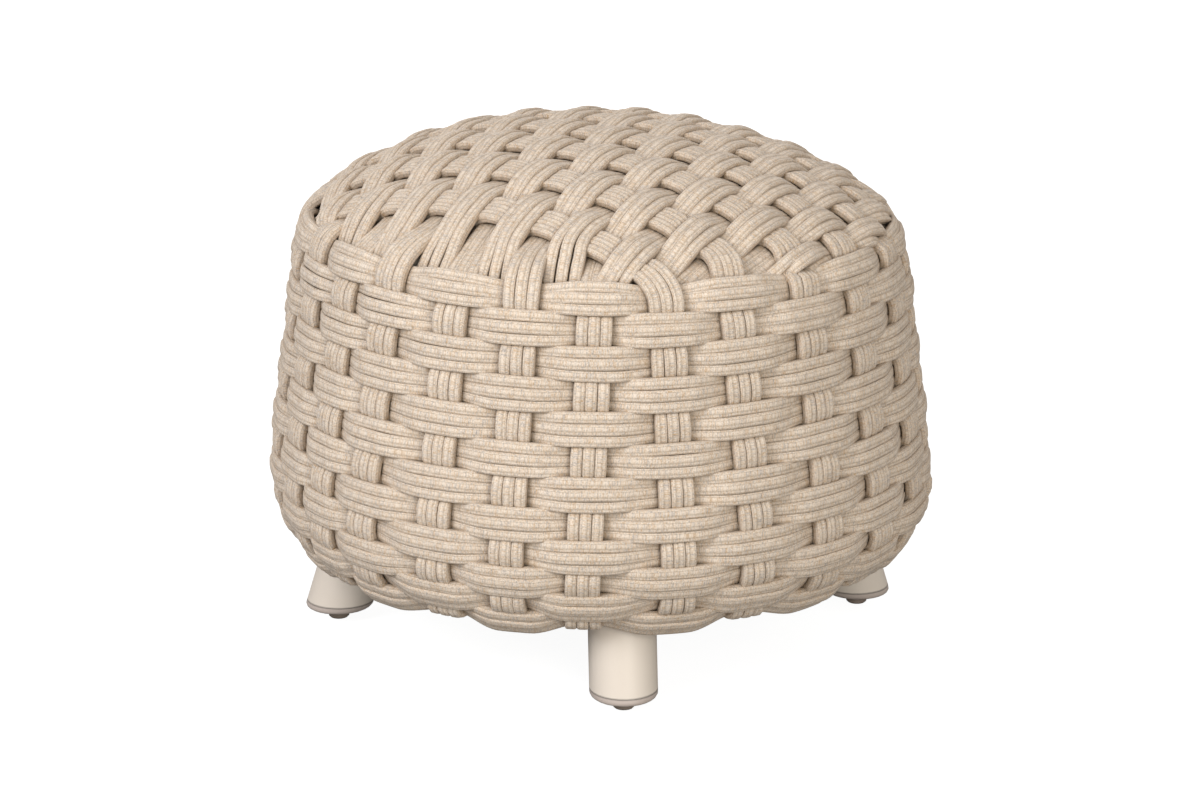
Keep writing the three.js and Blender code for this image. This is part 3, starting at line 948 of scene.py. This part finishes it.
class Nodes:
    """Short ways to place and join shader nodes in one tree."""

    def __init__(self, tree: NodeTree) -> None:
        """Keeps the tree and empties it."""
        self.tree = tree
        tree.nodes.clear()

    @classmethod
    def group(cls, name: str, values: dict[str, float], colours: tuple[str, ...]) -> "Nodes":
        """Makes a node group that gives a colour, a height and a roughness.

        Args:
            name: Name of the group.
            values: Number inputs and their usual values.
            colours: Colour inputs.

        Returns:
            The group's nodes.
        """
        tree = bpy.data.node_groups.new(name, "ShaderNodeTree")
        sockets = [(value, "INPUT", "NodeSocketFloat") for value in values]
        sockets += [(colour, "INPUT", "NodeSocketColor") for colour in colours]
        sockets += [("Color", "OUTPUT", "NodeSocketColor"), ("Height", "OUTPUT", "NodeSocketFloat"),
                    ("Roughness", "OUTPUT", "NodeSocketFloat")]
        for label, side, kind in sockets:
            socket = tree.interface.new_socket(name=label, in_out=side, socket_type=kind)
            if label in values:
                socket.default_value = values[label]
        return cls(tree)

    @classmethod
    def of(cls, data: Material | bpy.types.World) -> "Nodes":
        """Gives a material or a world an empty tree."""
        data.use_nodes = True
        return cls(data.node_tree)

    def put(self, sockets: bpy.types.bpy_prop_collection, values: dict) -> None:
        """Sets or links input sockets.

        Args:
            sockets: The input sockets of a node.
            values: Values or other sockets, by the names or numbers of the inputs.
        """
        for key, value in values.items():
            value = value.socket if isinstance(value, Value) else value
            if isinstance(value, NodeSocket):
                self.tree.links.new(value, sockets[key])
            else:
                sockets[key].default_value = value

    def add(self, kind: str, inputs: dict | None = None, **settings) -> bpy.types.Node:
        """Adds a node.

        Args:
            kind: The node's type name without its start, which is the same for all.
            inputs: Socket values or links, by name or number.
            **settings: Properties of the node.

        Returns:
            The node.
        """
        node = self.tree.nodes.new(f"ShaderNode{kind}")
        for key, value in settings.items():
            setattr(node, key, value)
        self.put(node.inputs, inputs or {})
        return node

    def out(self, kind: str, inputs: dict | None = None, socket: int | str = 0,
            **settings) -> Value:
        """Adds a node and returns one of its outputs."""
        return Value(self, self.add(kind, inputs, **settings).outputs[socket])

    def math(self, operation: str, *values: Value | NodeSocket | float) -> Value:
        """Adds a Math node and returns its result."""
        return self.out("Math", dict(enumerate(values)), operation=operation)

    def mix(self, share: Value | float, first: Value | tuple, second: Value | tuple,
            blend: str = "MIX") -> Value:
        """Adds a colour Mix node and returns its colour."""
        return self.out("Mix", {0: share, 6: first, 7: second}, 2, data_type="RGBA",
                        blend_type=blend)

    def given(self) -> dict[str, Value]:
        """What a group gets, by the names of its inputs."""
        outputs = self.tree.nodes.new("NodeGroupInput").outputs
        return {socket.name: Value(self, socket) for socket in outputs}

    def give(self, values: dict) -> NodeTree:
        """Links a group's outputs and returns the group."""
        self.put(self.tree.nodes.new("NodeGroupOutput").inputs, values)
        return self.tree


def unevenness_and_seam_shade_group() -> NodeTree:
    """Node group for the fine unevenness of coated and moulded surfaces, and painted shade at a
    seam.

    The seam's painted shade is a dark level line at a height, in metres, that gets lighter with
    the distance from it and ends at its reach.

    Returns:
        The group, with a colour, a height and a roughness as outputs.
    """
    n = Nodes.group("fine_unevenness_and_seam_shade", {
        "Grain": 900.0, "Clouds": 22.0, "Base Roughness": 0.4, "Spread": 0.08,
        "Shade Spread": 0.04, "Seam Height": -1.0, "Seam Reach": 0.001, "Seam Painted Shade": 0.0,
        "Seam Power": 0.6}, ("Colour",))
    given = n.given()
    place = n.out("TexCoord", socket="Object")
    fine, slow = (n.out("TexNoise", {"Vector": place, "Scale": scale, "Detail": detail})
                  for scale, detail in ((given["Grain"], 3.0), (given["Clouds"], 4.0)))
    centred = fine * 0.5 + slow * 0.5 - 0.5
    rough = centred.do("MULTIPLY_ADD", given["Spread"], given["Base Roughness"])
    shade = (slow - 0.5).do("MULTIPLY_ADD", given["Shade Spread"], 1.0)
    # Painted shade at the seam: darker near the seam height, fading to nothing at the reach.
    off = (n.out("SeparateXYZ", {"Vector": place}, "Z") - given["Seam Height"]).do("ABSOLUTE")
    off = off.do("DIVIDE", given["Seam Reach"]).do("MINIMUM", 1.0)
    near = (1.0 - off) ** given["Seam Power"]
    shade = shade * (1.0 - near * given["Seam Painted Shade"])
    grey = n.out("CombineColor", {0: shade, 1: shade, 2: shade})
    colour = n.mix(1.0, given["Colour"], grey, "MULTIPLY")
    return n.give({"Color": colour, "Height": fine, "Roughness": rough})


def surface(name: str, group: NodeTree, values: dict, relief: Pair,
            shine: dict[str, float]) -> Material:
    """Makes a material that shows a group's colour, height and roughness.

    Args:
        name: Name of the material.
        group: The node group.
        values: Values of the group's inputs.
        relief: Strength of the relief, and its depth in metres.
        shine: Other values of the material's shader.

    Returns:
        The material.
    """
    material = bpy.data.materials.new(name)
    n = Nodes.of(material)
    node = n.add("Group", node_tree=group)
    n.put(node.inputs, values)
    bump = n.out("Bump", {"Strength": relief[0], "Distance": relief[1],
                          "Height": node.outputs["Height"]})
    shader = n.out("BsdfPrincipled", {
        "Base Color": node.outputs["Color"], "Roughness": node.outputs["Roughness"],
        "Normal": bump, **shine})
    n.add("OutputMaterial", {"Surface": shader})
    return material


@dataclass(frozen=True)
class RopeFinish:
    """Knitted outdoor rope of light, tan and grey yarns.

    Fine ribs run along the cord, and short slanting stitches cross them. Each stitch takes a
    yarn of its own and longer stretches lean to one yarn. Painted shade darkens the grooves
    between the ribs and, from how closed in each point is, the creases between cords; deep
    holes get the darkest painted shade, and all the darkening is tinted warm. Ribs are counted
    round the cord, stitches and streaks along a decimetre of it, and hairs and clouds in a metre.
    """

    light: Colour = (241, 227, 212)
    tan: Colour = (198, 165, 126)
    grey: Colour = (172, 163, 159)
    tan_from: float = 0.48
    tint_step: float = 13.7
    ribs: float = 17.0
    rib_power: float = 0.7
    rib_seed: Pair = (4.5, 1.5)
    stitches: float = 165.0
    fleck: float = 0.42
    fleck_power: float = 1.6
    streaks: float = 11.0
    streak: float = 0.9
    streak_middle: float = 0.38
    hairs: float = 860.0
    hair: float = 2.1
    hair_middle: float = 0.48
    clouds: float = 16.0
    cloud: Pair = (0.12, 0.94)
    knot: Pair = (0.04, 0.96)
    # Painted shade: the next values darken the grooves between ribs, the creases between cords and,
    # most, deep holes, and tint the darkening warm.
    painted_groove_shade: float = 0.34
    painted_crease_shade: float = 0.97
    crease_power: float = 2.35
    crease_reach: float = 0.017
    painted_hole_shade: float = 0.35
    hole_open: Pair = (0.02, 0.3)
    shade_powers: Triple = (0.9, 1.0, 1.15)
    heights: Triple = (0.45, 0.08, 0.2)
    roughness: Pair = (0.16, 0.82)
    relief: Pair = (0.5, 0.0006)
    sheen: float = 0.05
    sheen_roughness: float = 0.5
    specular: float = 0.2

    def group(self) -> NodeTree:
        """Makes the node group for the knit.

        Returns:
            The group, with a colour, a height and a roughness as outputs.
        """
        n = Nodes.group("knitted_rope", {}, ("Light", "Tan", "Grey"))
        given = n.given()
        split = n.add("SeparateXYZ", {0: n.out("UVMap", uv_map="rope_map")}).outputs
        place = n.out("TexCoord", socket="Object")
        around = n.math("MULTIPLY", split[1], self.ribs)
        rib_number, rib_place = around.do("FLOOR"), around.do("FRACT")
        rib = (rib_place * math.pi).do("SINE") ** self.rib_power
        lean = (rib_place - 0.5).do("ABSOLUTE")
        rib_line = n.out("CombineXYZ", {0: rib_number, 1: self.rib_seed[0], 2: self.rib_seed[1]})
        start = n.out("TexWhiteNoise", {"Vector": rib_line}, noise_dimensions="3D")
        along = n.math("MULTIPLY", split[0], self.stitches) + (lean + start)
        stitch = (along.do("FRACT") * math.pi).do("SINE")
        cell = n.out("CombineXYZ", {0: along.do("FLOOR"), 1: rib_number})
        chance = n.out("TexWhiteNoise", {"Vector": cell}, noise_dimensions="3D")
        line = n.out("CombineXYZ", {0: n.math("MULTIPLY", split[0], self.streaks), 1: rib_number})
        streak = n.out("TexNoise", {"Vector": line, "Scale": 1.0, "Detail": 1.0})
        hair, slow = (
            n.out("TexNoise", {"Vector": place, "Scale": scale, "Detail": 2.0, "Roughness": rough})
            for scale, rough in ((self.hairs, 0.7), (self.clouds, 0.5)))
        fleck = chance ** self.fleck_power * self.fleck
        lean_to = (streak - self.streak_middle) * self.streak
        haze = (hair - self.hair_middle) * self.hair
        share = n.out("Clamp", {0: fleck + lean_to + haze})
        is_tan = (chance * self.tint_step).do("FRACT").do("GREATER_THAN", self.tan_from)
        dark = n.mix(is_tan, given["Grey"], given["Tan"])
        colour = n.mix(share, given["Light"], dark)
        # Painted shade in the grooves between the ribs.
        painted_groove_shade = 1.0 - (1.0 - rib) * self.painted_groove_shade
        knot = stitch.do("MULTIPLY_ADD", *self.knot)
        cloud = slow.do("MULTIPLY_ADD", *self.cloud)
        # Painted shade from ambient occlusion: darker in the creases between cords, darkest in deep
        # holes.
        open_ = n.out("AmbientOcclusion", {"Distance": self.crease_reach}, "AO", samples=6)
        painted_hole_shade = n.out("MapRange", {
            "Value": open_, "From Min": self.hole_open[0], "From Max": self.hole_open[1],
            "To Min": self.painted_hole_shade, "To Max": 1.0})
        painted_crease_shade = (1.0 - (1.0 - open_) ** self.crease_power * self.painted_crease_shade) * painted_hole_shade
        shade = painted_groove_shade * knot * (cloud * painted_crease_shade)
        # Painted shade tinted warm: each colour channel darkens by its own power.
        tint = {channel: shade ** power for channel, power in enumerate(self.shade_powers)}
        colour = n.mix(1.0, colour, n.out("CombineColor", tint), "MULTIPLY")
        rib_height, stitch_height, hair_height = self.heights
        height = rib * rib_height + stitch * stitch_height + hair * hair_height
        rough = hair.do("MULTIPLY_ADD", *self.roughness)
        return n.give({"Color": colour, "Height": height, "Roughness": rough})

    def material(self) -> Material:
        """Makes the material from the rope's group.

        Returns:
            The material.
        """
        yarns = {"Light": linear(self.light), "Tan": linear(self.tan), "Grey": linear(self.grey)}
        shine = {"Sheen Weight": self.sheen, "Sheen Roughness": self.sheen_roughness,
                 "Specular IOR Level": self.specular}
        return surface("knitted_rope", self.group(), yarns, self.relief, shine)


@dataclass(frozen=True)
class CoatFinish:
    """A coated, moulded or plated surface with fine grain, and any painted shade at the seam
    between the legs and their caps.
    """

    name: str
    colour: Colour
    roughness: float
    grain: float = 900.0
    bump: float = 0.08
    depth: float = 0.0003
    metallic: float = 0.0
    coat: float = 0.0
    spread: float = 0.1
    shade_spread: float = 0.04
    # Reach and strength of the painted shade at the seam.
    seam_reach: float = 0.0011
    seam_painted_shade: float = 0.0

    def material(self, group: NodeTree, seam_height: float) -> Material:
        """Makes the material from the shared group of fine unevenness and painted seam shade.

        Args:
            group: The group.
            seam_height: Height of the seam between the legs and their caps, where shade is painted,
                in metres.

        Returns:
            The material.
        """
        values = {
            "Colour": linear(self.colour), "Grain": self.grain, "Base Roughness": self.roughness,
            "Spread": self.spread, "Shade Spread": self.shade_spread, "Seam Height": seam_height,
            "Seam Reach": self.seam_reach, "Seam Painted Shade": self.seam_painted_shade}
        return surface(self.name, group, values, (self.bump, self.depth),
                       {"Metallic": self.metallic, "Coat Weight": self.coat})


@dataclass(frozen=True)
class PartKind:
    """What the CAD nodes whose names start alike look like."""

    start: str
    material: Material
    slot: str
    is_round: bool


@dataclass
class SteelFrame:
    """The frame, legs, caps and glides: the CAD's own solids in their real finishes."""

    # The cream coat and the caps get painted shade at the seam between the legs and their caps.
    cream: CoatFinish = CoatFinish("cream_powder_coat", (233, 222, 210), 0.5, bump=0.1, coat=0.05,
                                   seam_painted_shade=0.55)
    zinc: CoatFinish = CoatFinish("zinc_plate", (190, 192, 195), 0.34, metallic=1.0)
    cap: CoatFinish = CoatFinish("taupe_plastic", (201, 188, 180), 0.45, grain=500, bump=0.12,
                                 seam_painted_shade=0.45)
    glide: CoatFinish = CoatFinish("dark_glide_plastic", (146, 132, 122), 0.5, grain=400, bump=0.15)
    merge_distance: float = 1e-6
    sharp_angle: float = math.radians(32)

    def kinds(self, group: NodeTree) -> list[PartKind]:
        """Lists the kinds of parts, the first one whose start fits a name being that node's.

        Args:
            group: The node group for coated and moulded surfaces.

        Returns:
            The kinds, the last of which fits every name.
        """
        # The seam's painted shade lies at the bottom of the legs.
        seam_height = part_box("leg_01")[0][2]
        cream, zinc, cap, glide = (
            finish.material(group, seam_height)
            for finish in (self.cream, self.zinc, self.cap, self.glide))
        return [
            PartKind("leg_bolt_", zinc, "zinc_steel", False),
            PartKind("leg_flange_", cream, "cream_coat", False),
            PartKind("leg_cap_", cap, "cap_plastic", True),
            PartKind("leg_", cream, "cream_coat", True),
            PartKind("glide_", glide, "glide_plastic", True),
            PartKind("", cream, "cream_coat", False),
        ]

    def rounded(self, name: str, kind: PartKind) -> None:
        """Puts a copy of a round CAD part in its place, whose sides shade as one curved surface.

        The CAD's triangles share no corners. Corners at the same place become one vertex, and
        the shading is smooth but for edges past the sharp angle.

        Args:
            name: The CAD node's name.
            kind: Its kind.
        """
        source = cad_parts[name].data
        places = np.empty(3 * len(source.vertices))
        source.vertices.foreach_get("co", places)
        places = places.reshape(-1, 3)
        corners = np.empty(len(source.loops), dtype=np.int64)
        source.loops.foreach_get("vertex_index", corners)
        cells = np.round(places / self.merge_distance).astype(np.int64)
        _, first, merged = np.unique(cells, axis=0, return_index=True, return_inverse=True)
        faces = merged.reshape(-1)[corners].reshape(-1, 3)
        mesh = bpy.data.meshes.new(f"round_{name}")
        mesh.from_pydata(places[first].tolist(), [], faces.tolist())
        mesh.shade_smooth()
        mesh.set_sharp_from_angle(angle=self.sharp_angle)
        mesh.materials.append(kind.material)
        piece = linked(mesh.name, mesh)
        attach(piece, f"glide_body_{name[-2:]}" if kind.start == "glide_" else BODY)
        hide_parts(name)

    def dress(self, group: NodeTree) -> None:
        """Gives each part but the cover its finish.

        Args:
            group: Node group for fine unevenness and painted seam shade.
        """
        kinds = self.kinds(group)
        for name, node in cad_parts.items():
            if name.startswith("rope_"):
                continue
            kind = next(kind for kind in kinds if name.startswith(kind.start))
            if kind.is_round:
                self.rounded(name, kind)
            else:
                for slot in node.material_slots:
                    slot.material = kind.material
            log.info("%s: %s", name, kind.material.name)


@dataclass(frozen=True)
class Lamp:
    """A square area lamp that faces the stool, turned from the camera's azimuth by its turn."""

    name: str
    turn: float
    elevation: float
    distance: float
    size: float
    power: float
    tint: Colour = (1.0, 1.0, 1.0)


@dataclass
class Studio:
    """Camera, lamps, world and floor.

    The lamps are the key at the camera's left, a low one at its right and one behind. Their
    lengths and the floor's are in metres, and their power in watts.
    """

    azimuth: float = 40.0
    elevation: float = 16.9
    distance: float = 2806.0
    target_height: float = 190.9
    sideways: float = 0.1
    roll: float = 0.12
    focal_pixels: float = 3263.0
    image_width: float = 1200.0
    sensor_width: float = 36.0
    clip: Pair = (0.05, 50.0)
    lamps: tuple[Lamp, ...] = (
        Lamp("key", -42, 32, 2.8, 1.3, 39.5, (0.985, 0.99, 1.0)),
        Lamp("fill", 20, 14, 3.0, 1.6, 32.0, (1.0, 0.965, 0.88)),
        Lamp("back", 188, 22, 3.0, 2.0, 22.0),
    )
    lamp_target: float = 0.2
    world_strength: float = 0.46
    world_tint: tuple[float, float, float, float] = (1.0, 0.97, 0.93, 1.0)
    floor_half: float = 12.0
    floor_colour: tuple[float, float, float, float] = (0.3, 0.3, 0.3, 1.0)
    floor_glow: float = 0.93

    def camera(self) -> None:
        """Places the camera at the photograph's angle and distance."""
        data = bpy.data.cameras.new("camera")
        data.sensor_width = self.sensor_width
        data.lens = self.sensor_width * self.focal_pixels / self.image_width
        data.clip_start, data.clip_end = self.clip
        camera = linked("camera", data)
        back, turn = away(self.azimuth, self.elevation), math.radians(self.azimuth)
        right = Vector((math.cos(turn), math.sin(turn), 0.0))
        target = Vector((0, 0, self.target_height)) + right * self.sideways
        camera.location = (target + back * self.distance) * MM
        facing = (-back).to_track_quat("-Z", "Y") @ Quaternion((0, 0, 1), math.radians(self.roll))
        camera.rotation_euler = facing.to_euler()
        bpy.context.scene.camera = camera

    def lights(self) -> None:
        """Places the lamps."""
        for lamp in self.lamps:
            data = bpy.data.lights.new(lamp.name, "AREA")
            data.shape, data.size = "SQUARE", lamp.size
            data.energy, data.color = lamp.power, lamp.tint
            back = away(self.azimuth + lamp.turn, lamp.elevation)
            placed = linked(lamp.name, data)
            placed.location = Vector((0, 0, self.lamp_target)) + back * lamp.distance
            placed.rotation_euler = (-back).to_track_quat("-Z", "Y").to_euler()

    def world(self) -> None:
        """Makes an even world that is white to the camera, in reflections and through glass."""
        world = bpy.data.worlds.new("studio")
        bpy.context.scene.world = world
        n = Nodes.of(world)
        rays = n.add("LightPath").outputs
        shown = n.math("MAXIMUM", rays["Is Glossy Ray"], rays["Is Transmission Ray"])
        shown = n.math("MAXIMUM", rays["Is Camera Ray"], shown)
        strength = n.out("MapRange", {"Value": shown, "To Min": self.world_strength, "To Max": 1.0})
        tint = n.mix(shown, self.world_tint, WHITE)
        background = n.out("Background", {"Color": tint, "Strength": strength})
        n.add("OutputWorld", {"Surface": background})

    def floor(self) -> None:
        """Lays a plain pale floor that shows white to the camera and keeps the shadow."""
        mesh = bpy.data.meshes.new("floor")
        half = self.floor_half
        corners = [(-half, -half, 0), (half, -half, 0), (half, half, 0), (-half, half, 0)]
        mesh.from_pydata(corners, [], [(0, 1, 2, 3)])
        floor = linked("floor", mesh)
        material = bpy.data.materials.new("pale_floor")
        n = Nodes.of(material)
        seen = n.out("LightPath", socket="Is Camera Ray")
        glow = n.out("Emission", {"Color": WHITE, "Strength": seen * self.floor_glow})
        diffuse = n.out("BsdfDiffuse", {"Color": self.floor_colour})
        n.add("OutputMaterial", {"Surface": n.out("AddShader", {0: diffuse, 1: glow})})
        mesh.materials.append(material)

    def build(self) -> None:
        """Sets up the whole studio."""
        bpy.context.scene.view_settings.view_transform = "Standard"
        self.camera()
        self.lights()
        self.world()
        self.floor()


def main() -> None:
    """Builds the studio, dresses the frame and weaves the cover."""
    logging.basicConfig(level=logging.INFO, format="%(name)s %(message)s")
    Studio().build()
    SteelFrame().dress(unevenness_and_seam_shade_group())
    WovenCover(CoverShape(), RopeSweep()).build(RopeFinish().material())


if __name__ == "__main__":
    main()
